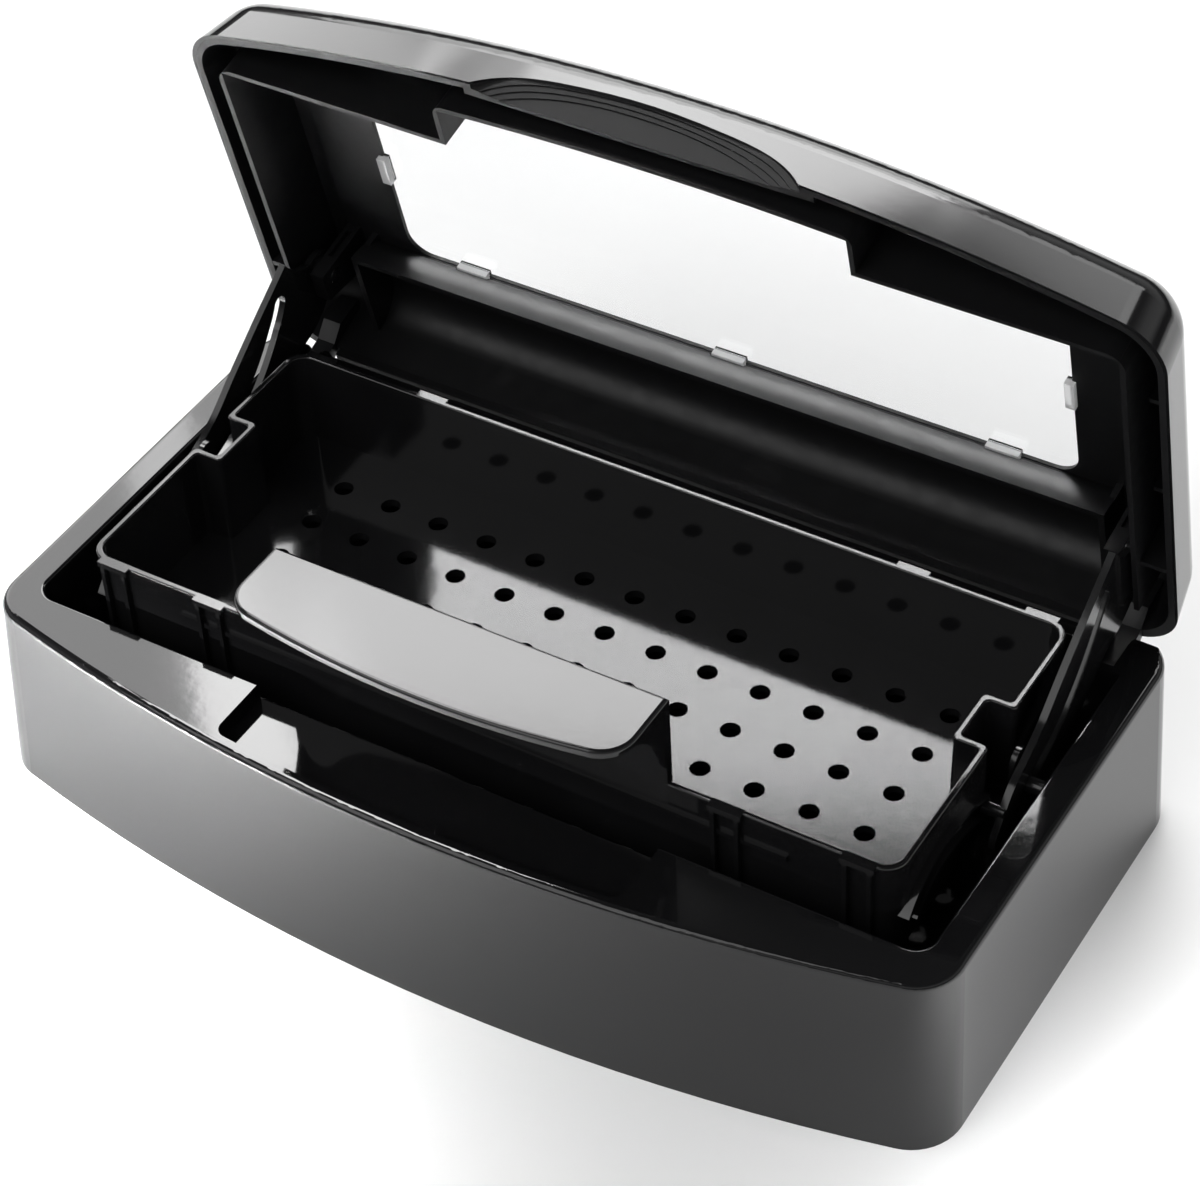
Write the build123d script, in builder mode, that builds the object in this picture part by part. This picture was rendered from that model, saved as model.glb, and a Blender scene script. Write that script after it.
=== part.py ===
from build123d import *
from math import cos, sin, radians
import os

# Soak tray for manicure tools: an open double-walled tub with a perforated
# basket on a pair of lift arms, and a hinged lid with a clear window.
# Units mm, +Z up, X along the hinge line, front towards -Y. Y0 is the distance
# from the chord through the front corners to the plan centre; every (x, y)
# below is counted from that chord, and the planes shift it to the centre.

# ---------------------------------------------------------------- dimensions
Y0 = 47.1

# tub
SKIRT_Z = 0.0            # lower edge of the outer skirt, which stands on the table
TUB_H = 46.0             # ledge height
BASE_HALF_TOP, BASE_HALF_LOW = 117.5, 119.5
APEX_TOP, APEX_LOW = -14.9, -18.4
CORNER_LOW = -3.3
REAR_TOP, REAR_LOW = 111.0, 112.6
SHELL = 2.4
TUB_HALF, TUB_FRONT, TUB_REAR, TUB_R = 109.7, 7.1, 104.5, 4.5
TUB_FLOOR, TUB_UNDER = 3.4, 1.4
POCKET_HALF, POCKET_FLOOR = 49.7, 41.4
FOOT_R = 6.0

# hinge line and how far the lid stands open
HINGE_Y, HINGE_Z = 105.9, 37.5
OPEN = 77.0
HINGE_PIN_R = 1.5
EAR_IN, EAR_OUT, EAR_R = 102.5, 107.3, 3.4
SPINE_R = 6.5            # rear edge of the tub, concentric with the hinge line

# lid, as it lies closed
LID_Z = 46.3
LID_TOP = 65.4
LID_HALF, LID_HALF_TOP = 116.0, 113.0
LID_WALL = 2.2
LID_CEIL = 63.5
LID_ROUND, LID_ROUND_IN = 11.0, 9.0
RIDGE_Z = 44.4
WIN_HALF, WIN_FRONT, WIN_REAR = 85.8, 15.0, 79.0
TROUGH_Z = 53.9

# basket, raised
RIM_Z, BASKET_FLOOR, BASKET_UNDER = 56.3, 33.0, 31.0
BASKET_HALF, BASKET_FRONT, BASKET_REAR = 99.5, 14.5, 95.0
BASKET_WALL = 1.4
RAIL_X0, RAIL_X1, RAIL_WALL = 98.2, 101.0, 1.1
NOTCH_X, NOTCH_Y0, NOTCH_Y1 = 93.0, 55.0, 67.0
HOLE_D, HOLE_PITCH = 4.6, 13.1
LIP_Z = 79.0
LIP_HALF = 47.5
BASKET_DY, BASKET_DZ = 7.5, -26.5

# lift arms
ARM_IN, ARM_OUT = 103.8, 105.4
PIVOT_Y, PIVOT_Z = 113.0, 65.5
PIVOT_R = 2.0
BRACKET_IN, BRACKET_OUT = 99.4, 103.0
GUIDE_Y, GUIDE_Z = 62.0, 42.0
GUIDE_R = 1.8
LIFT_Y, LIFT_Z = 52.0, 42.0
LIFT_R = 1.6
ARM_TURN = 14.0          # how far an arm turns while the lid turns through OPEN
CONTACT_GAP = 0.3        # play of a pin in its cam slot

# ------------------------------------------------------------------- planes
FLOOR = Plane(origin=(0, -Y0, 0))
c, s = cos(radians(OPEN)), sin(radians(OPEN))
LID_ORIGIN = Vector(0, HINGE_Y - Y0 - c * HINGE_Y - s * HINGE_Z,
                    HINGE_Z + s * HINGE_Y - c * HINGE_Z)
LID = Plane(origin=LID_ORIGIN, x_dir=(1, 0, 0), z_dir=(0, s, c))


def side_plane(x):
    # local x is y from the front chord, local y is the height
    return Plane(origin=(x, -Y0, 0), x_dir=(0, 1, 0), z_dir=(1, 0, 0))


def lid_side(x):
    # the same, in the lid's own closed coordinates
    return Plane(origin=LID_ORIGIN + Vector(x, 0, 0), x_dir=(0, c, -s), z_dir=(1, 0, 0))


def lid_front(y):
    # looks along the lid's own front; local x is x, local y is the closed height
    return Plane(origin=LID_ORIGIN + Vector(0, c * y, -s * y), x_dir=(1, 0, 0),
                 z_dir=(0, -c, s))


def spin(p, about, degrees):
    a = radians(degrees)
    dy, dz = p[0] - about[0], p[1] - about[1]
    return (about[0] + cos(a) * dy - sin(a) * dz, about[1] + sin(a) * dy + cos(a) * dz)


HINGE = (HINGE_Y, HINGE_Z)
PIVOT = (PIVOT_Y, PIVOT_Z)
GUIDE = (GUIDE_Y, GUIDE_Z)
LIFT = (LIFT_Y, LIFT_Z)


def arm_point(p, t):
    # where a point of the arm is when the lid has closed by the fraction t
    pivot = spin(PIVOT, HINGE, OPEN * t)
    q = spin(p, PIVOT, ARM_TURN * t)
    return (q[0] + pivot[0] - PIVOT[0], q[1] + pivot[1] - PIVOT[1])


def in_arm(p, t):
    # a fixed point, seen from the arm at that moment
    pivot = spin(PIVOT, HINGE, OPEN * t)
    return spin((p[0] - pivot[0] + PIVOT[0], p[1] - pivot[1] + PIVOT[1]), PIVOT,
                -ARM_TURN * t)


def beside(path, gap):
    # the path moved sideways by gap, to its left as it runs
    out = []
    for i, (py, pz) in enumerate(path):
        a, b = path[max(i - 1, 0)], path[min(i + 1, len(path) - 1)]
        dy, dz = b[0] - a[0], b[1] - a[1]
        n = (dy * dy + dz * dz) ** 0.5
        out.append((py - gap * dz / n, pz + gap * dy / n))
    return out


STEPS = [i / 12 for i in range(13)]
CLOSED_PIVOT = spin(PIVOT, HINGE, OPEN)
GUIDE_PATH = [in_arm(GUIDE, t) for t in STEPS]
LIFT_PATH = [(arm_point(LIFT, t)[0] - BASKET_DY * t, arm_point(LIFT, t)[1] - BASKET_DZ * t)
             for t in STEPS]


def bow_outline(half, corner_y, apex_y, rear_y, front_r, rear_r):
    with BuildSketch(Plane.XY) as sk:
        with BuildLine():
            ThreePointArc((-half, corner_y), (0, apex_y), (half, corner_y))
            Polyline((half, corner_y), (half, rear_y), (-half, rear_y), (-half, corner_y))
        make_face()
        fillet(sk.vertices().filter_by(lambda v: v.Y < 40), front_r)
        fillet(sk.vertices().filter_by(lambda v: v.Y > rear_y - 0.01), rear_r)
    return sk.sketch


def basket_outline(inset, wall):
    # wall moves every side in, and the notches towards the middle
    d = inset + wall
    with BuildSketch(Plane.XY) as sk:
        with Locations((0, (BASKET_FRONT + BASKET_REAR) / 2)):
            Rectangle(2 * (BASKET_HALF - d), BASKET_REAR - BASKET_FRONT - 2 * d)
        for side in (-1, 1):
            with Locations((side * (NOTCH_X - d + 10), (NOTCH_Y0 + NOTCH_Y1) / 2)):
                Rectangle(20, NOTCH_Y1 - NOTCH_Y0 + 2 * d, mode=Mode.SUBTRACT)
        corners = sk.vertices().filter_by(lambda v: v.Y < 30 or v.Y > 80)
        fillet(corners, 5.0 - 0.6 * wall)
        notch = sk.vertices().filter_by(lambda v: 45 < v.Y < 75)
        fillet(notch, 1.2)
    return sk.sketch


skirt_top = bow_outline(BASE_HALF_TOP, 0, APEX_TOP, REAR_TOP, 11, 11)
skirt_low = bow_outline(BASE_HALF_LOW, CORNER_LOW, APEX_LOW, REAR_LOW, 12, 12)
void_top = bow_outline(BASE_HALF_TOP - SHELL, SHELL, APEX_TOP + SHELL, REAR_TOP - SHELL, 9, 9)
void_low = bow_outline(BASE_HALF_LOW - SHELL, CORNER_LOW + SHELL, APEX_LOW + SHELL,
                       REAR_LOW - SHELL, 10, 10)

# ----------------------------------------------------------------- base tub
with BuildPart() as base_tub:
    with BuildSketch(FLOOR.offset(SKIRT_Z)):
        add(skirt_low)
    with BuildSketch(FLOOR.offset(TUB_H)):
        add(skirt_top)
    loft()
    fillet(base_tub.edges().group_by(Axis.Z)[-1], 1.6)
    # open underside between the skirt and the tub
    with BuildSketch(FLOOR.offset(SKIRT_Z)):
        add(void_low)
    with BuildSketch(FLOOR.offset(TUB_H - SHELL)):
        add(void_top)
    loft(mode=Mode.SUBTRACT)
    # tub walls and floor
    with BuildSketch(FLOOR.offset(TUB_UNDER)):
        with Locations((0, (TUB_FRONT + TUB_REAR) / 2)):
            RectangleRounded(2 * (TUB_HALF + SHELL), TUB_REAR - TUB_FRONT + 2 * SHELL, TUB_R + 2)
    extrude(amount=TUB_H - SHELL + 0.4 - TUB_UNDER)
    # body of the finger pocket in the front ledge
    with BuildSketch(FLOOR.offset(POCKET_FLOOR - 2)):
        with BuildLine():
            ThreePointArc((-52, -11.2), (0, -13.9), (52, -11.2))
            Polyline((52, -11.2), (52, 6), (-52, 6), (-52, -11.2))
        make_face()
    extrude(amount=TUB_H - SHELL + 0.4 - POCKET_FLOOR + 2)
    # bar that backs the rear edge
    with BuildSketch(FLOOR.offset(40.0)):
        with Locations((0, 107.2)):
            Rectangle(202, 5.2)
    extrude(amount=TUB_H - SHELL + 0.4 - 40.0)
    # bosses that carry the hinge pins
    with BuildSketch(FLOOR.offset(31.8)):
        for side in (-1, 1):
            with Locations((side * 106.1, 102.4)):
                Rectangle(11.0, 12.0)
    extrude(amount=TUB_H - 1.0 - 31.8)
    # stiffening ribs under the ledge
    with BuildSketch(FLOOR.offset(9)):
        for side in (-1, 1):
            for y in (30, 55, 80):
                with Locations((side * 114.0, y)):
                    Rectangle(5.4, 1.8)
            with Locations((side * 75, -0.6)):
                Rectangle(1.8, 12.5)
            with Locations((side * 35, 108.2)):
                Rectangle(1.8, 4.2)
    extrude(amount=TUB_H - SHELL + 0.4 - 9)
    # the tub itself
    with BuildSketch(FLOOR.offset(TUB_H)):
        with Locations((0, (TUB_FRONT + TUB_REAR) / 2)):
            RectangleRounded(2 * TUB_HALF, TUB_REAR - TUB_FRONT, TUB_R)
    extrude(amount=-(TUB_H - TUB_FLOOR), taper=0.7, mode=Mode.SUBTRACT)
    fillet(base_tub.faces().sort_by(Axis.Z)[-1].inner_wires()[0].edges(), 0.8)
    fillet(base_tub.faces().filter_by(Plane.XY).filter_by(
        lambda f: abs(f.center().Z - TUB_FLOOR) < 0.01)[0].outer_wire().edges(), 1.6)
    # finger pocket, open to the tub
    with BuildSketch(FLOOR.offset(POCKET_FLOOR)) as pocket:
        with BuildLine():
            ThreePointArc((-POCKET_HALF, -9.4), (0, -12.0), (POCKET_HALF, -9.4))
            Polyline((POCKET_HALF, -9.4), (POCKET_HALF, 9), (-POCKET_HALF, 9), (-POCKET_HALF, -9.4))
        make_face()
        fillet(pocket.vertices().filter_by(lambda v: v.Y < -5), 3)
    extrude(amount=10, mode=Mode.SUBTRACT)
    # hinge bosses inside the rear corners, and the notches the lid's ears swing in
    with BuildSketch(FLOOR.offset(31.8)):
        for side in (-1, 1):
            with Locations((side * 105.6, 101.4)):
                Rectangle(10.0, 10.0)
    extrude(amount=TUB_H - 31.8)
    with BuildSketch(FLOOR.offset(33.6)):
        for side in (-1, 1):
            with Locations((side * 104.9, 109)):
                Rectangle(5.6, 22)
    extrude(amount=20, mode=Mode.SUBTRACT)
    # rounded rear edge, which lets the lid's rear edge roll past
    with BuildSketch(side_plane(-130)):
        with Locations((110.6, 45.4)):
            Rectangle(10, 10)
        with Locations((105.6, 40.4)):
            Circle(5.5, mode=Mode.SUBTRACT)
    extrude(amount=260, mode=Mode.SUBTRACT)
    with BuildSketch(side_plane(-101.9)):
        with Locations((107.5, 44)):
            Rectangle(11, 8)
        with Locations(HINGE):
            Circle(SPINE_R, mode=Mode.SUBTRACT)
    extrude(amount=203.8, mode=Mode.SUBTRACT)
    # bores for the hinge pins and the guide pins
    with BuildSketch(side_plane(-111.5)):
        with Locations(HINGE):
            Circle(HINGE_PIN_R + 0.02)
    extrude(amount=223, mode=Mode.SUBTRACT)
    with BuildSketch(side_plane(-112.0)):
        with Locations(GUIDE):
            Circle(GUIDE_R + 0.02)
    extrude(amount=224, mode=Mode.SUBTRACT)
    # seats of the feet
    with BuildSketch(FLOOR.offset(TUB_UNDER)):
        with Locations((-95, 20), (95, 20), (-95, 92), (95, 92)):
            Circle(FOOT_R + 0.1)
    extrude(amount=0.4, mode=Mode.SUBTRACT)
base_tub.part.label = "base_tub"
export_step(base_tub.part, "parts/base_tub.step")

# --------------------------------------------------------------------- feet
for name, x, y in (("foot_front_left", -95, 20), ("foot_front_right", 95, 20),
                   ("foot_rear_left", -95, 92), ("foot_rear_right", 95, 92)):
    with BuildPart() as foot:
        with BuildSketch(FLOOR):
            with Locations((x, y)):
                Circle(FOOT_R)
        extrude(amount=TUB_UNDER + 0.4)
        fillet(foot.edges().group_by(Axis.Z)[0], 0.5)
    foot.part.label = name
    export_step(foot.part, "parts/" + name + ".step")

# ------------------------------------------------------------------- basket
rim_out = basket_outline(0, 0)
low_out = basket_outline(0.4, 0)
rim_in = basket_outline(0, BASKET_WALL)
low_in = basket_outline(0.4, BASKET_WALL)
RAIL_IN, RAIL_OUT = LIFT_R + CONTACT_GAP, LIFT_R + CONTACT_GAP + RAIL_WALL
UPPER_RAIL = (beside(LIFT_PATH, -RAIL_IN), beside(LIFT_PATH, -RAIL_OUT))
LOWER_RAIL = (beside(LIFT_PATH, RAIL_IN), beside(LIFT_PATH, RAIL_OUT))

with BuildPart() as basket:
    with BuildSketch(FLOOR.offset(BASKET_UNDER)):
        add(low_out)
    with BuildSketch(FLOOR.offset(RIM_Z)):
        add(rim_out)
    loft()
    fillet(basket.edges().group_by(Axis.Z)[0], 1.0)
    with BuildSketch(FLOOR.offset(BASKET_FLOOR)):
        add(low_in)
    with BuildSketch(FLOOR.offset(RIM_Z)):
        add(rim_in)
    loft(mode=Mode.SUBTRACT)
    rim = basket.faces().sort_by(Axis.Z)[-1]
    fillet(rim.edges(), 0.4)
    # drain holes
    with BuildSketch(FLOOR.offset(BASKET_UNDER)):
        with Locations((0, 54)):
            with GridLocations(HOLE_PITCH, HOLE_PITCH, 13, 5):
                Circle(HOLE_D / 2)
    extrude(amount=BASKET_FLOOR - BASKET_UNDER, mode=Mode.SUBTRACT)
    # rails on the outside of each end wall, for the arms' lift pins
    for side in (-1, 1):
        x0 = RAIL_X0 if side > 0 else -RAIL_X1
        for inner, outer in (UPPER_RAIL, LOWER_RAIL):
            with BuildSketch(side_plane(x0)):
                with BuildLine():
                    Spline(*inner)
                    Line(inner[-1], outer[-1])
                    Spline(*reversed(outer))
                    Line(outer[0], inner[0])
                make_face()
            extrude(amount=RAIL_X1 - RAIL_X0)
    # ribs in pairs and small lugs on the outside of the long walls
    with BuildSketch(FLOOR.offset(RIM_Z - 20)):
        for x in (-92, -61.6, 61.6, 92):
            for dx in (-2.75, 2.75):
                with Locations((x + dx, BASKET_REAR + 0.1)):
                    Rectangle(1.0, 1.8)
        for x in (-92, -66.5, 61, 91):
            for dx in (-2.75, 2.75):
                with Locations((x + dx, BASKET_FRONT)):
                    Rectangle(1.0, 2.4)
    extrude(amount=20)
    with BuildSketch(FLOOR.offset(RIM_Z - 1.4)):
        for x in (-92, -61.6, 61.6, 92):
            with Locations((x, BASKET_REAR + 0.1)):
                Rectangle(7.6, 1.8)
        for x in (-92, -66.5, 61, 91):
            with Locations((x, BASKET_FRONT)):
                Rectangle(7.6, 2.4)
    extrude(amount=1.4)
    # bead along the front wall
    with BuildSketch(FLOOR.offset(48.2)):
        with Locations((0, BASKET_FRONT + 0.3)):
            Rectangle(150, 1.8)
    extrude(amount=1.2)
    # raised front wall and the flat lip that the fingers lift
    with BuildSketch(FLOOR.offset(RIM_Z - 6)):
        with Locations((0, BASKET_FRONT + 1.0)):
            Rectangle(2 * LIP_HALF, 2.0)
    extrude(amount=LIP_Z - RIM_Z + 6)
    with BuildSketch(FLOOR.offset(LIP_Z - 1.8)) as lip:
        with BuildLine():
            ThreePointArc((-LIP_HALF, -2.5), (0, -7.4), (LIP_HALF, -2.5))
            Polyline((LIP_HALF, -2.5), (LIP_HALF, BASKET_FRONT + 2), (-LIP_HALF, BASKET_FRONT + 2),
                     (-LIP_HALF, -2.5))
        make_face()
        fillet(lip.vertices().filter_by(lambda v: v.Y < 5), 8)
    extrude(amount=1.8)
    fillet(basket.edges().group_by(Axis.Z)[-1], 0.9)
    for x in (-LIP_HALF, LIP_HALF - 1.6):
        with BuildSketch(side_plane(x)):
            with BuildLine():
                Polyline((BASKET_FRONT + 0.5, RIM_Z + 1.0), (BASKET_FRONT + 0.5, LIP_Z - 1.2),
                         (2.5, LIP_Z - 1.2))
                ThreePointArc((2.5, LIP_Z - 1.2), (10.6, 70.0), (BASKET_FRONT + 0.5, RIM_Z + 1.0))
            make_face()
        extrude(amount=1.6)
basket.part.label = "basket"
export_step(basket.part, "parts/basket.step")

# --------------------------------------------------------------- lid, moulded
lid_low = bow_outline(LID_HALF, 1.5, -13.4, 105.0, 13, 13)
lid_high = bow_outline(LID_HALF_TOP, 4.6, -9.9, 103.0, 12.5, 12.5)
cav_low = bow_outline(LID_HALF - LID_WALL, 1.5 + LID_WALL, -13.4 + LID_WALL, 105.0 - LID_WALL, 11.5, 11.5)
cav_high = bow_outline(LID_HALF_TOP - LID_WALL, 4.6 + LID_WALL, -9.9 + LID_WALL, 103.0 - LID_WALL, 11, 11)

with BuildPart() as cavity:
    with BuildSketch(LID.offset(LID_Z)):
        add(cav_low)
    with BuildSketch(LID.offset(LID_CEIL)):
        add(cav_high)
    loft()
    far = cavity.faces().sort_by(lambda f: (f.center() - LID_ORIGIN).dot(LID.z_dir))[-1]
    fillet(far.edges(), LID_ROUND_IN)

with BuildPart() as lid_block:
    with BuildSketch(LID.offset(LID_Z)):
        add(lid_low)
    with BuildSketch(LID.offset(LID_TOP)):
        add(lid_high)
    loft()
    top = lid_block.faces().sort_by(lambda f: (f.center() - LID_ORIGIN).dot(LID.z_dir))[-1]
    fillet(top.edges(), LID_ROUND)

# the same block carried on a little below its rim, which bounds the inner walls
with BuildPart() as lid_space:
    add(lid_block.part)
    with BuildSketch(LID.offset(RIDGE_Z - 0.5)):
        add(lid_low)
    extrude(amount=LID_Z - RIDGE_Z + 0.7)

with BuildPart() as lid_walls:
    # locating ridge that drops into the tub's mouth, stepping forward over the pocket
    with BuildSketch(LID.offset(RIDGE_Z)) as ridge:
        with BuildLine():
            Polyline((-49.5, -2.6), (-49.5, 7.8), (-107.9, 7.8), (-107.9, 92), (107.9, 92),
                     (107.9, 7.8), (49.5, 7.8), (49.5, -2.6))
            ThreePointArc((49.5, -2.6), (0, -4.4), (-49.5, -2.6))
        make_face()
        fillet(ridge.vertices().filter_by(lambda v: abs(v.X) > 100 and v.Y < 20), 4.2)
        fillet(ridge.vertices().filter_by(lambda v: v.Y < 0), 3.0)
        with BuildLine():
            Polyline((-48.3, -1.4), (-48.3, 9.0), (-106.7, 9.0), (-106.7, 95), (106.7, 95),
                     (106.7, 9.0), (48.3, 9.0), (48.3, -1.4))
            ThreePointArc((48.3, -1.4), (0, -3.2), (-48.3, -1.4))
        make_face(mode=Mode.SUBTRACT)
    extrude(amount=LID_CEIL + 0.4 - RIDGE_Z)
    # thicker wall behind the finger scoop
    with BuildSketch(lid_side(-41)):
        with BuildLine():
            Polyline((-10.9, LID_Z), (-7.6, LID_Z), (-7.6, 55.5), (-9.6, 55.5), (-10.9, LID_Z))
        make_face()
    extrude(amount=82)
    # cross ribs between the ridge and the outer wall
    with BuildSketch(LID.offset(54)):
        for side in (-1, 1):
            for y in (31.5, 60.5, 88.8):
                with Locations((side * 110.3, y)):
                    Rectangle(5.6, 1.3)
    extrude(amount=LID_CEIL + 0.4 - 54)
    with BuildSketch(LID.offset(LID_Z)):
        for side in (-1, 1):
            with Locations((side * 110.6, 77)):
                Rectangle(6.2, 1.3)
    extrude(amount=LID_CEIL + 0.4 - LID_Z)
    # transverse wall behind the window, and the ends of the trough
    with BuildSketch(lid_side(-96.1)):
        with BuildLine():
            ThreePointArc((76.0, TROUGH_Z), (76.9, 59.2), (79.6, LID_CEIL + 0.4))
            Line((79.6, LID_CEIL + 0.4), (81.2, LID_CEIL + 0.4))
            ThreePointArc((81.2, LID_CEIL + 0.4), (78.4, 59.2), (77.5, TROUGH_Z))
            Line((77.5, TROUGH_Z), (76.0, TROUGH_Z))
        make_face()
    extrude(amount=192.2)
    for x in (-96.1, 94.6):
        with BuildSketch(lid_side(x)):
            with BuildLine():
                Polyline((77.0, TROUGH_Z), (77.0, LID_CEIL + 0.4), (101.5, LID_CEIL + 0.4),
                         (102.6, TROUGH_Z), (77.0, TROUGH_Z))
            make_face()
        extrude(amount=1.5)
    # arm brackets, each a post with a slot in its front face
    for x in (-BRACKET_OUT, BRACKET_IN):
        with BuildSketch(lid_side(x)):
            with BuildLine():
                Polyline((76.5, LID_Z), (84.5, LID_Z), (88.5, LID_CEIL + 0.4), (76.5, LID_CEIL + 0.4),
                         (76.5, LID_Z))
            make_face()
        extrude(amount=BRACKET_OUT - BRACKET_IN)
    for x in (-BRACKET_OUT + 1.0, BRACKET_IN + 1.0):
        with BuildSketch(lid_side(x)):
            with Locations((76.5, 57.2)):
                Rectangle(2.6, 8.4)
        extrude(amount=BRACKET_OUT - BRACKET_IN - 2.0, mode=Mode.SUBTRACT)
    add(lid_space.part, mode=Mode.INTERSECT)


def scoop_cut(inset, deeper):
    # a lens in the front view, sloping in towards the rim
    with BuildPart() as cut:
        with BuildSketch(lid_front(-6.5)):
            with BuildLine():
                Spline((-40 + 2 * inset, LID_Z - 1), (-33 + 1.6 * inset, LID_Z + 3.9 - 0.9 * inset),
                       (-18 + 0.7 * inset, LID_Z + 7.0 - inset), (0, LID_Z + 7.8 - inset),
                       (18 - 0.7 * inset, LID_Z + 6.6 - inset),
                       (33 - 1.6 * inset, LID_Z + 3.3 - 0.9 * inset), (39 - 2 * inset, LID_Z - 1))
                Line((39 - 2 * inset, LID_Z - 1), (-40 + 2 * inset, LID_Z - 1))
            make_face()
        extrude(amount=12)
        with BuildSketch(lid_side(-45)):
            with BuildLine():
                Polyline((-20, LID_Z - 2), (-9.1 + deeper, LID_Z - 2), (-12.1 + deeper, LID_Z + 8.4),
                         (-20, LID_Z + 8.4), (-20, LID_Z - 2))
            make_face()
        extrude(amount=90, mode=Mode.INTERSECT)
    return cut.part


scoop = [scoop_cut(0.0, 0.0), scoop_cut(0.9, 0.35), scoop_cut(1.8, 0.7), scoop_cut(2.7, 1.05)]

with BuildPart() as lid_shell:
    add(lid_block.part)
    add(cavity.part, mode=Mode.SUBTRACT)
    add(lid_walls.part)
    # lip under the rear wall, which fills the gap over the tub's rear edge
    with BuildSketch(lid_side(-101.4)):
        with BuildLine():
            Polyline((102.8, 44.6), (103.2, 44.3), (105.0, 44.3), (105.0, 47.3), (102.8, 47.3),
                     (102.8, 44.6))
        make_face()
    extrude(amount=202.8)
    # reliefs that the pane's rear snap tabs hook into
    with BuildSketch(LID.offset(LID_CEIL - 1.6)):
        for x in (-68, 0, 68):
            with Locations((x, WIN_REAR - 0.4)):
                Rectangle(8.6, 3.0)
    extrude(amount=1.6, mode=Mode.SUBTRACT)
    # ears on the hinge line
    for side in (-1, 1):
        with BuildSketch(lid_side(EAR_IN if side > 0 else -EAR_OUT)):
            with Locations(HINGE):
                Circle(EAR_R)
            with BuildLine():
                Polyline((HINGE_Y - EAR_R, HINGE_Z), (101.6, 46.0), (98.5, 50.0), (98.5, 58.0),
                         (102.6, 58.0), (104.4, LID_Z), (HINGE_Y + EAR_R, HINGE_Z),
                         (HINGE_Y - EAR_R, HINGE_Z))
            make_face()
        extrude(amount=EAR_OUT - EAR_IN)
    with BuildSketch(lid_side(-EAR_OUT - 0.5)):
        with Locations(HINGE):
            Circle(HINGE_PIN_R + 0.05)
    extrude(amount=2 * EAR_OUT + 1, mode=Mode.SUBTRACT)
    # bores for the arm pivots
    for x in (-BRACKET_OUT - 0.5, BRACKET_IN - 0.5):
        with BuildSketch(lid_side(x)):
            with Locations(CLOSED_PIVOT):
                Circle(PIVOT_R + 0.02)
        extrude(amount=BRACKET_OUT - BRACKET_IN + 1.0, mode=Mode.SUBTRACT)
    # finger scoop in the front edge, stepped like a nest of lenses
    for cut in scoop:
        add(cut, mode=Mode.SUBTRACT)
    # window opening, with a seat for the pane on the outside
    with BuildSketch(LID.offset(LID_CEIL - 1)):
        with Locations((0, (WIN_FRONT + WIN_REAR) / 2)):
            RectangleRounded(2 * WIN_HALF, WIN_REAR - WIN_FRONT, 6)
    extrude(amount=5, mode=Mode.SUBTRACT)
    with BuildSketch(LID.offset(LID_TOP - 1.0)):
        with Locations((0, (WIN_FRONT + WIN_REAR) / 2)):
            RectangleRounded(2 * WIN_HALF + 5.6, WIN_REAR - WIN_FRONT + 5.6, 8.6)
    extrude(amount=3, mode=Mode.SUBTRACT)
lid_shell.part.label = "lid_shell"
export_step(lid_shell.part, "parts/lid_shell.step")

# ------------------------------------------------------------- window pane
with BuildPart() as window_pane:
    with BuildSketch(LID.offset(LID_TOP - 1.0)):
        with Locations((0, (WIN_FRONT + WIN_REAR) / 2)):
            RectangleRounded(2 * WIN_HALF + 5.2, WIN_REAR - WIN_FRONT + 5.2, 8.4)
    extrude(amount=1.0)
    # snap tabs, hooked over the inner edge of the opening
    with BuildSketch(LID.offset(LID_CEIL - 1.4)):
        for y, side in ((WIN_FRONT, -1), (WIN_REAR, 1)):
            for x in (-68, 0, 68):
                with Locations((x, y - side * 0.75)):
                    Rectangle(8, 1.2)
        for side in (-1, 1):
            with Locations((side * (WIN_HALF - 0.75), 50.6)):
                Rectangle(1.2, 8)
    extrude(amount=LID_TOP - 0.8 - LID_CEIL + 1.4)
    with BuildSketch(LID.offset(LID_CEIL - 1.4)):
        for y, side in ((WIN_FRONT, -1), (WIN_REAR, 1)):
            for x in (-68, 0, 68):
                with Locations((x, y - side * 0.2)):
                    Rectangle(8, 2.2)
        for side in (-1, 1):
            with Locations((side * (WIN_HALF - 0.2), 50.6)):
                Rectangle(2.2, 8)
    extrude(amount=1.3)
window_pane.part.label = "window_pane"
export_step(window_pane.part, "parts/window_pane.step")

# ---------------------------------------------------------------- lift arms
FRONT_EDGE = [(47.4, 38.6), (50.8, 42.6), (55.2, 46.7), (62, 49.9), (69, 53.5), (75, 58.0), (82, 63.0),
              (88, 67.2), (94, 71.2), (100.2, 75.4)]
REAR_EDGE = [(116.4, 60.4), (113.6, 55.4), (109.2, 51.8), (104.4, 49.8), (100.4, 48.6), (97.0, 47.3),
             (94.0, 45.6), (90.5, 43.2), (84, 39.6), (74, 36.6), (64, 35.2), (56, 34.4), (50.0, 34.2)]
# the slot runs on a little past the pin's last place
SLOT_END = [GUIDE_PATH[-1], (95.1, 63.9), (96.6, 66.6)]

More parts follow.
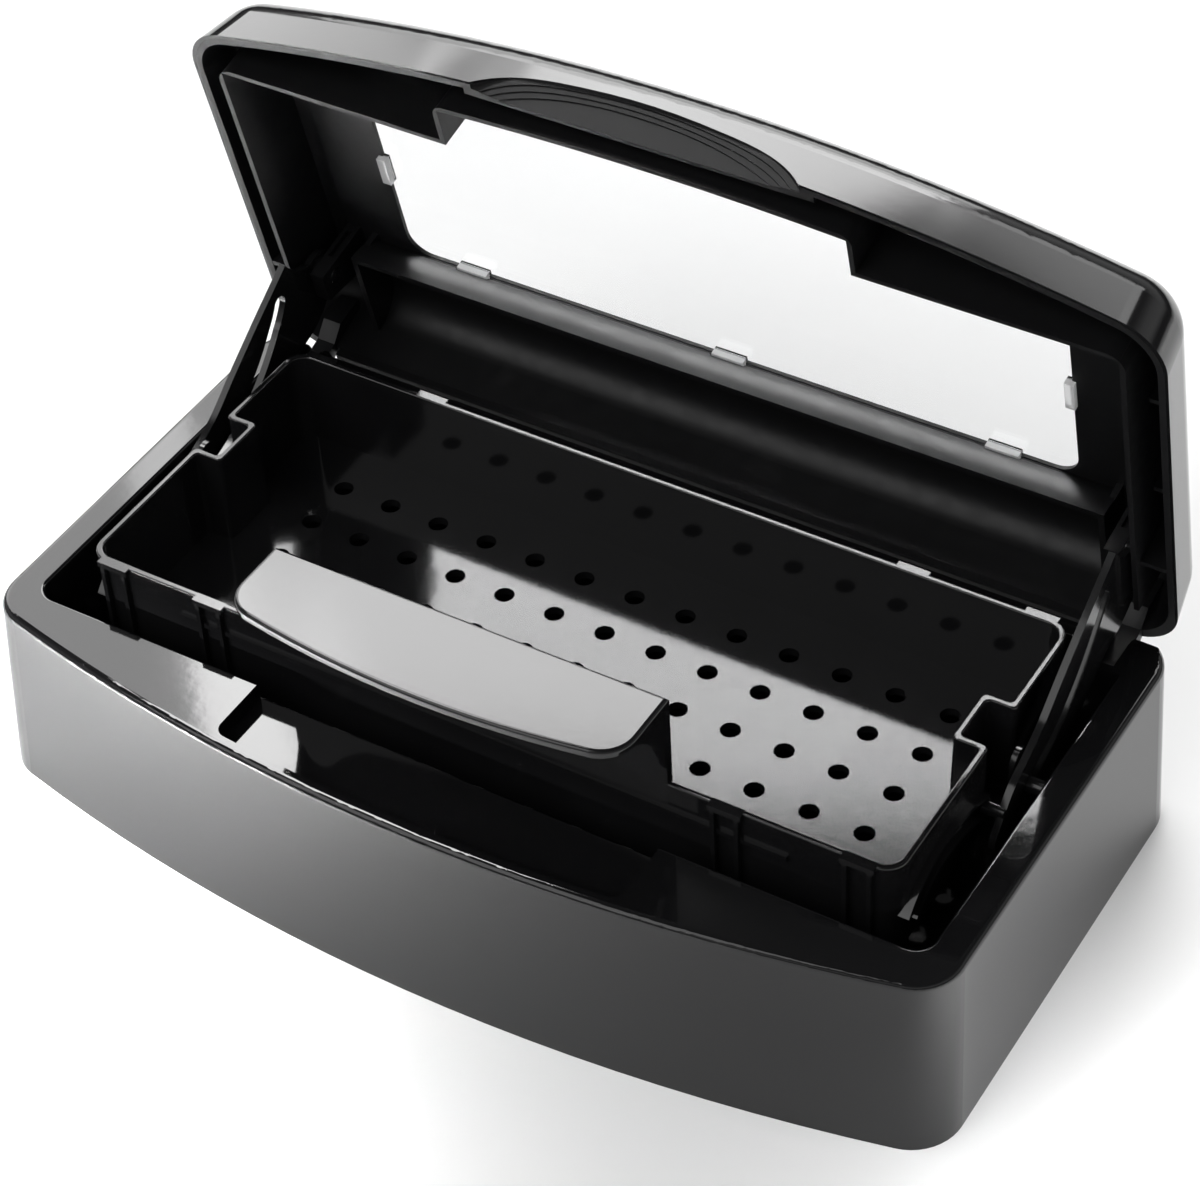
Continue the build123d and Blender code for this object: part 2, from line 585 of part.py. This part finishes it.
for side, name in ((-1, "left"), (1, "right")):
    with BuildPart() as arm:
        with BuildSketch(side_plane(ARM_IN if side > 0 else -ARM_OUT)):
            with BuildLine():
                Spline(*FRONT_EDGE)
                Line(FRONT_EDGE[-1], (103.9, 71.0))
                Line((103.9, 71.0), (109.5, 69.3))
                ThreePointArc((109.5, 69.3), (116.6, 69.1), REAR_EDGE[0])
                Spline(*REAR_EDGE)
                ThreePointArc(REAR_EDGE[-1], (47.2, 35.6), FRONT_EDGE[0])
            make_face()
            with Locations(PIVOT):
                Circle(PIVOT_R + 0.05, mode=Mode.SUBTRACT)
            with Locations(LIFT):
                Circle(LIFT_R + 0.02, mode=Mode.SUBTRACT)
            left_side = beside(GUIDE_PATH, GUIDE_R + CONTACT_GAP)
            right_side = beside(GUIDE_PATH, -(GUIDE_R + CONTACT_GAP))
            with BuildLine():
                Spline(*left_side)
                Line(left_side[-1], right_side[-1])
                Spline(*reversed(right_side))
                Line(right_side[0], left_side[0])
            make_face(mode=Mode.SUBTRACT)
            left_side = beside(SLOT_END, GUIDE_R + CONTACT_GAP)
            right_side = beside(SLOT_END, -(GUIDE_R + CONTACT_GAP))
            with BuildLine():
                Spline(*left_side)
                Line(left_side[-1], right_side[-1])
                Spline(*reversed(right_side))
                Line(right_side[0], left_side[0])
            make_face(mode=Mode.SUBTRACT)
            with Locations(GUIDE_PATH[0], GUIDE_PATH[-1], SLOT_END[-1]):
                Circle(GUIDE_R + CONTACT_GAP, mode=Mode.SUBTRACT)
        extrude(amount=ARM_OUT - ARM_IN)
    arm.part.label = name + "_lift_arm"
    export_step(arm.part, "parts/" + name + "_lift_arm.step")

    # hinge pin, held in the two cheeks of the boss
    with BuildPart() as hinge_pin:
        with BuildSketch(side_plane(100.8 if side > 0 else -111.4)):
            with Locations(HINGE):
                Circle(HINGE_PIN_R)
        extrude(amount=10.6)
        chamfer(hinge_pin.edges().filter_by(GeomType.CIRCLE), 0.3)
    hinge_pin.part.label = name + "_hinge_pin"
    export_step(hinge_pin.part, "parts/" + name + "_hinge_pin.step")

    # arm pivot pin, held in the lid's bracket
    with BuildPart() as pivot_pin:
        with BuildSketch(side_plane(BRACKET_IN if side > 0 else -105.6)):
            with Locations(PIVOT):
                Circle(PIVOT_R)
        extrude(amount=105.6 - BRACKET_IN)
        chamfer(pivot_pin.edges().filter_by(GeomType.CIRCLE), 0.3)
    pivot_pin.part.label = name + "_arm_pivot_pin"
    export_step(pivot_pin.part, "parts/" + name + "_arm_pivot_pin.step")

    # spacer bush between the bracket and the arm
    with BuildPart() as bush:
        with BuildSketch(side_plane(103.05 if side > 0 else -103.75)):
            with Locations(PIVOT):
                Circle(3.6)
                Circle(PIVOT_R + 0.02, mode=Mode.SUBTRACT)
        extrude(amount=0.7)
    bush.part.label = name + "_pivot_bush"
    export_step(bush.part, "parts/" + name + "_pivot_bush.step")

    # guide pin in the tub wall, with a long flat head that keeps the arm in place
    with BuildPart() as guide_pin:
        with BuildSketch(side_plane(103.3 if side > 0 else -111.9)):
            with Locations(GUIDE):
                Circle(GUIDE_R)
        extrude(amount=8.6)
        with BuildSketch(side_plane(102.2 if side > 0 else -103.4)):
            with Locations((GUIDE_Y, 44.6)):
                SlotCenterToCenter(6.4, 6.2, rotation=90)
        extrude(amount=1.2)
    guide_pin.part.label = name + "_guide_pin"
    export_step(guide_pin.part, "parts/" + name + "_guide_pin.step")

    # lift pin in the arm's foot, running between the basket's rails
    with BuildPart() as lift_pin:
        with BuildSketch(side_plane(99.95 if side > 0 else -ARM_OUT)):
            with Locations(LIFT):
                Circle(LIFT_R)
        extrude(amount=ARM_OUT - 99.95)
        chamfer(lift_pin.edges().filter_by(GeomType.CIRCLE), 0.3)
    lift_pin.part.label = name + "_lift_pin"
    export_step(lift_pin.part, "parts/" + name + "_lift_pin.step")
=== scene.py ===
import bpy
from math import radians, sin, cos, tan
from mathutils import Vector, Matrix

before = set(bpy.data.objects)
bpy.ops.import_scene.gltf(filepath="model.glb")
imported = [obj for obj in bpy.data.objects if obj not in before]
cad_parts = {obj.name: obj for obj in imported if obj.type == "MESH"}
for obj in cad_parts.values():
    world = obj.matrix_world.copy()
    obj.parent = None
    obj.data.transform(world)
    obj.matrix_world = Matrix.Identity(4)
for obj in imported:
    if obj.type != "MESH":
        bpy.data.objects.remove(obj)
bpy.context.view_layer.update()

Y0 = 0.0471          # from the front corner chord to the plan centre, as in the part

# ------------------------------------------------------------------- camera
AZ, EL, ROLL = radians(33.302), radians(42.723), radians(-3.420)
TARGET = Vector((-0.002387, 0.069870 - Y0, 0.041759))
DIST = 0.75733
back = Vector((sin(AZ) * cos(EL), -cos(AZ) * cos(EL), sin(EL)))
xc = Vector((0, 0, 1)).cross(back).normalized()
yc = back.cross(xc)
right = cos(ROLL) * xc + sin(ROLL) * yc
up = -sin(ROLL) * xc + cos(ROLL) * yc
cam_data = bpy.data.cameras.new("camera")
cam = bpy.data.objects.new("camera", cam_data)
bpy.context.scene.collection.objects.link(cam)
m = Matrix((right, up, back)).transposed().to_4x4()
m.translation = TARGET + back * DIST
cam.matrix_world = m
cam_data.sensor_width = 36.0
cam_data.lens = 3439.65 * 36.0 / 1200.0
cam_data.clip_start = 0.01
cam_data.clip_end = 20.0
bpy.context.scene.camera = cam


# ---------------------------------------------------------------- materials
def new_material(name):
    mat = bpy.data.materials.new(name)
    mat.use_nodes = True
    nt = mat.node_tree
    bsdf = nt.nodes["Principled BSDF"]
    return mat, nt, bsdf


def link(nt, a, b):
    nt.links.new(a, b)


def coords(nt):
    tc = nt.nodes.new("ShaderNodeTexCoord")
    return tc.outputs["Object"]


def noise(nt, vec, scale, detail=3.0, rough=0.5):
    n = nt.nodes.new("ShaderNodeTexNoise")
    n.inputs["Scale"].default_value = scale
    n.inputs["Detail"].default_value = detail
    n.inputs["Roughness"].default_value = rough
    link(nt, vec, n.inputs["Vector"])
    return n.outputs["Fac"]


def ramp(nt, fac, p0, v0, p1, v1):
    r = nt.nodes.new("ShaderNodeMapRange")
    r.inputs["From Min"].default_value = p0
    r.inputs["From Max"].default_value = p1
    r.inputs["To Min"].default_value = v0
    r.inputs["To Max"].default_value = v1
    link(nt, fac, r.inputs["Value"])
    return r.outputs["Result"]


def mix_color(nt, fac, c0, c1):
    mx = nt.nodes.new("ShaderNodeMix")
    mx.data_type = "RGBA"
    mx.inputs[6].default_value = (*c0, 1)
    mx.inputs[7].default_value = (*c1, 1)
    link(nt, fac, mx.inputs[0])
    return mx.outputs[2]


def closed_height(nt, vec):
    # height of a point above the table when the lid lies closed, in metres
    dot = nt.nodes.new("ShaderNodeVectorMath")
    dot.operation = "DOT_PRODUCT"
    a = radians(77.0)
    dot.inputs[1].default_value = (0, sin(a), cos(a))
    link(nt, vec, dot.inputs[0])
    off = nt.nodes.new("ShaderNodeMath")
    off.operation = "SUBTRACT"
    off.inputs[1].default_value = sin(a) * (0.1059 - Y0) + cos(a) * 0.0375 - 0.0375
    link(nt, dot.outputs["Value"], off.inputs[0])
    return off.outputs[0]


def math(nt, op, a, b=0.0):
    m = nt.nodes.new("ShaderNodeMath")
    m.operation = op
    for socket, v in zip(m.inputs, (a, b)):
        if hasattr(v, "links"):
            link(nt, v, socket)
        else:
            socket.default_value = v
    return m.outputs[0]


def lid_inside(nt, vec):
    # 1 on the lid's inner walls, 0 on its outer skin: depth under the rounded outer block
    z = closed_height(nt, vec)
    dot = nt.nodes.new("ShaderNodeVectorMath")
    dot.operation = "DOT_PRODUCT"
    a = radians(77.0)
    dot.inputs[1].default_value = (0, cos(a), -sin(a))
    link(nt, vec, dot.inputs[0])
    y = math(nt, "SUBTRACT", dot.outputs["Value"], cos(a) * (0.1059 - Y0) - sin(a) * 0.0375 - 0.1059)
    sep = nt.nodes.new("ShaderNodeSeparateXYZ")
    link(nt, vec, sep.inputs[0])
    x = math(nt, "ABSOLUTE", sep.outputs["X"])
    rise = math(nt, "SUBTRACT", z, 0.0463)
    over_x = math(nt, "MAXIMUM", math(nt, "ADD", x, math(nt, "SUBTRACT", math(nt, "MULTIPLY", rise, 0.157), 0.105)), 0.0)
    over_z = math(nt, "MAXIMUM", math(nt, "SUBTRACT", z, 0.0544), 0.0)
    dy = math(nt, "SUBTRACT", 0.4456, math(nt, "SUBTRACT", y, math(nt, "MULTIPLY", rise, 0.183)))
    rho = math(nt, "SQRT", math(nt, "ADD", math(nt, "POWER", dy, 2.0), math(nt, "POWER", x, 2.0)))
    over_f = math(nt, "MAXIMUM", math(nt, "SUBTRACT", rho, 0.448), 0.0)
    over_r = math(nt, "MAXIMUM", math(nt, "ADD", y, math(nt, "SUBTRACT", math(nt, "MULTIPLY", rise, 0.105), 0.094)), 0.0)
    total = math(nt, "ADD", math(nt, "ADD", math(nt, "POWER", over_x, 2.0), math(nt, "POWER", over_z, 2.0)),
                 math(nt, "ADD", math(nt, "POWER", over_f, 2.0), math(nt, "POWER", over_r, 2.0)))
    depth = math(nt, "SUBTRACT", 0.011, math(nt, "SQRT", total))
    return ramp(nt, depth, 0.0004, 0.0, 0.0009, 1.0)


def plastic(name, dark, light, rough_lo, rough_hi, bump=0.0, bump_scale=900.0, specular=0.5, edge=0.0):
    mat, nt, b = new_material(name)
    vec = coords(nt)
    cloud = noise(nt, vec, 55.0, 4.0, 0.6)
    link(nt, mix_color(nt, cloud, dark, light), b.inputs["Base Color"])
    smear = noise(nt, vec, 24.0, 5.0, 0.62)
    link(nt, ramp(nt, smear, 0.3, rough_lo, 0.7, rough_hi), b.inputs["Roughness"])
    b.inputs["Specular IOR Level"].default_value = specular
    if bump > 0:
        grain = noise(nt, vec, bump_scale, 2.0, 0.5)
        bp = nt.nodes.new("ShaderNodeBump")
        bp.inputs["Strength"].default_value = bump
        bp.inputs["Distance"].default_value = 0.0001
        link(nt, grain, bp.inputs["Height"])
        link(nt, bp.outputs["Normal"], b.inputs["Normal"])
    return mat


GLOSS_TUB = plastic("gloss_tub", (0.0055, 0.0055, 0.006), (0.0085, 0.0085, 0.009), 0.035, 0.06, 0.03, 420.0)
GLOSS_LID = plastic("gloss_lid", (0.0055, 0.0055, 0.006), (0.0085, 0.0085, 0.009), 0.08, 0.11, 0.015, 420.0)
GLOSS_BASKET = plastic("gloss_basket", (0.006, 0.006, 0.0065), (0.010, 0.010, 0.0105), 0.08, 0.105, 0.05, 500.0)


def satin_and_painted_shade_inside(mat):
    # the lid's inner walls get a satin roughness, and a lower specular level as painted shade that darkens the
    # lid's hollow
    nt = mat.node_tree
    b = nt.nodes["Principled BSDF"]
    vec = coords(nt)
    inside = lid_inside(nt, vec)
    gloss = b.inputs["Roughness"].links[0].from_socket
    satin = ramp(nt, noise(nt, vec, 260.0, 3.0, 0.6), 0.3, 0.34, 0.7, 0.44)
    mx = nt.nodes.new("ShaderNodeMix")
    mx.data_type = "FLOAT"
    link(nt, inside, mx.inputs[0])
    link(nt, gloss, mx.inputs[2])
    link(nt, satin, mx.inputs[3])
    link(nt, mx.outputs[0], b.inputs["Roughness"])
    # painted shade: the specular level drops from 0.5 to 0.3 on the lid's inner walls to darken them
    link(nt, ramp(nt, inside, 0.0, 0.5, 1.0, 0.3), b.inputs["Specular IOR Level"])


satin_and_painted_shade_inside(GLOSS_LID)
ARM_MAT = plastic("gloss_arm", (0.006, 0.006, 0.0065), (0.010, 0.010, 0.0105), 0.10, 0.15, 0.05, 700.0)
PIN_MAT = plastic("satin_pin", (0.006, 0.006, 0.0065), (0.011, 0.011, 0.0115), 0.14, 0.20, 0.10, 900.0)
RUBBER = plastic("foot_rubber", (0.018, 0.018, 0.018), (0.035, 0.034, 0.034), 0.65, 0.85, 0.3, 1600.0)


def steel():
    mat, nt, b = new_material("pin_steel")
    vec = coords(nt)
    mp = nt.nodes.new("ShaderNodeMapping")
    mp.inputs["Scale"].default_value = (4.0, 1.0, 1.0)
    link(nt, vec, mp.inputs["Vector"])
    n = noise(nt, mp.outputs["Vector"], 800.0, 4.0, 0.7)
    link(nt, mix_color(nt, n, (0.42, 0.42, 0.43), (0.62, 0.62, 0.63)), b.inputs["Base Color"])
    link(nt, ramp(nt, n, 0.3, 0.22, 0.7, 0.38), b.inputs["Roughness"])
    b.inputs["Metallic"].default_value = 1.0
    return mat


def clear():
    mat, nt, b = new_material("window_clear")
    vec = coords(nt)
    n = noise(nt, vec, 30.0, 3.0, 0.5)
    link(nt, mix_color(nt, n, (0.96, 0.965, 0.97), (0.99, 0.992, 0.995)), b.inputs["Base Color"])
    link(nt, ramp(nt, n, 0.3, 0.01, 0.7, 0.05), b.inputs["Roughness"])
    # the snap tabs under the pane are frosted
    link(nt, ramp(nt, closed_height(nt, vec), 0.0634, 0.45, 0.0640, 1.0), b.inputs["Transmission Weight"])
    b.inputs["IOR"].default_value = 1.49
    return mat


STEEL, CLEAR = steel(), clear()

FINISH = {
    "base_tub": GLOSS_TUB, "basket": GLOSS_BASKET, "lid_shell": GLOSS_LID, "window_pane": CLEAR,
    "left_lift_arm": ARM_MAT, "right_lift_arm": ARM_MAT,
    "left_hinge_pin": STEEL, "right_hinge_pin": STEEL,
}
for name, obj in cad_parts.items():
    if name.startswith("foot"):
        mat = RUBBER
    else:
        mat = FINISH.get(name, PIN_MAT)
    if not obj.material_slots:
        obj.data.materials.append(mat)
    for s in obj.material_slots:
        s.material = mat

# -------------------------------------------------------------- floor, light
bpy.ops.mesh.primitive_plane_add(size=8, location=(0, 0, 0))
floor = bpy.context.object
floor.name = "floor"
fm, nt, b = new_material("floor_paper")
n = noise(nt, coords(nt), 3.0, 2.0, 0.5)
link(nt, mix_color(nt, n, (0.86, 0.86, 0.86), (0.9, 0.9, 0.9)), b.inputs["Base Color"])
link(nt, ramp(nt, n, 0.3, 0.6, 0.7, 0.75), b.inputs["Roughness"])
b.inputs["Specular IOR Level"].default_value = 0.2
floor.data.materials.append(fm)

world = bpy.data.worlds.new("world")
bpy.context.scene.world = world
world.use_nodes = True
nt = world.node_tree
bg = nt.nodes["Background"]
bg.inputs["Strength"].default_value = 1.0
wc = nt.nodes.new("ShaderNodeTexCoord")
sep = nt.nodes.new("ShaderNodeSeparateXYZ")
nt.links.new(wc.outputs["Generated"], sep.inputs[0])
shade = nt.nodes.new("ShaderNodeValToRGB")      # dark at the horizon and overhead, dim in between
shade.color_ramp.interpolation = "EASE"
for i, (pos, v) in enumerate(((0.10, 0.05), (0.30, 0.5), (0.42, 0.45), (0.64, 0.06))):
    e = shade.color_ramp.elements[i] if i < 2 else shade.color_ramp.elements.new(pos)
    e.position = pos
    e.color = (v, v, v, 1)
nt.links.new(sep.outputs["Z"], shade.inputs["Fac"])
nt.links.new(shade.outputs["Color"], bg.inputs["Color"])
bpy.context.scene.view_settings.view_transform = "Standard"


def towards(az, el, dist):
    # azimuth from +Y towards +X
    a, e = radians(az), radians(el)
    return (sin(a) * cos(e) * dist, cos(a) * cos(e) * dist, sin(e) * dist)


def softbox(name, size_x, size_y, loc, target, radiance):
    data = bpy.data.lights.new(name, "AREA")
    data.shape = "RECTANGLE"
    data.size = size_x
    data.size_y = size_y
    data.energy = radiance * 3.14159 * size_x * size_y
    ob = bpy.data.objects.new(name, data)
    bpy.context.scene.collection.objects.link(ob)
    ob.location = loc
    d = Vector(target) - Vector(loc)
    ob.rotation_euler = d.to_track_quat("-Z", "Y").to_euler()
    ob.visible_camera = False
    return ob


MID = (0, 0, 0.05)


def far_box(name, az0, az1, el0, el1, radiance, dist=8.0):
    # a distant softbox that fills a range of azimuth and elevation
    az, el = (az0 + az1) / 2, (el0 + el1) / 2
    w = 2 * dist * tan(radians((az1 - az0) / 2) * cos(radians(el)))
    h = 2 * dist * tan(radians((el1 - el0) / 2))
    return softbox(name, w, h, towards(az, el, dist), MID, radiance)


far_box("key_left", -43.5, -40.0, 41.0, 46.9, 10.3)
far_box("key_right", -40.0, -12.0, 37.5, 47.0, 10.5)
far_box("key_tail", -12.0, 16.0, 36.0, 48.0, 3.0)
far_box("back_low", -44.0, -12.0, 14.0, 25.0, 2.8)
far_box("back_mid", -44.0, -12.0, 25.0, 32.0, 5.4)
far_box("back_high", -40.0, -12.0, 32.0, 37.5, 9.0)
far_box("back_corner", -44.0, -40.0, 32.0, 41.0, 4.2)
far_box("back_left_box", -75.0, -44.0, 14.0, 47.0, 4.2)
# draws the thin light lines along rounded edges, and leaves the paper alone
edge_strip = far_box("edge_strip", -92.0, -54.0, 55.0, 68.0, 16.0)
edge_strip.visible_diffuse = False
far_box("front_left_box", -175.0, -125.0, 25.0, 62.0, 1.8)
# low strips beside the tub, which only light the paper that the gloss walls mirror
paper_back = softbox("paper_back", 1.8, 0.5, (0.0, 0.85, 0.5), (0.0, 0.8501, 0), 3.3)
paper_back.visible_glossy = False
paper_front = softbox("paper_front", 0.8, 0.5, (0.0, -0.65, 0.8), (0.0, -0.45, 0), 2.0)
paper_front.visible_glossy = False
paper_left = softbox("paper_left", 0.14, 0.03, (-0.17, -0.16, 0.06), (-0.17, -0.1601, 0), 190.0)
paper_left.visible_glossy = False
paper_right = softbox("paper_right", 0.03, 0.08, (0.19, -0.05, 0.06), (0.19, -0.0501, 0), 14.0)
paper_right.visible_glossy = False
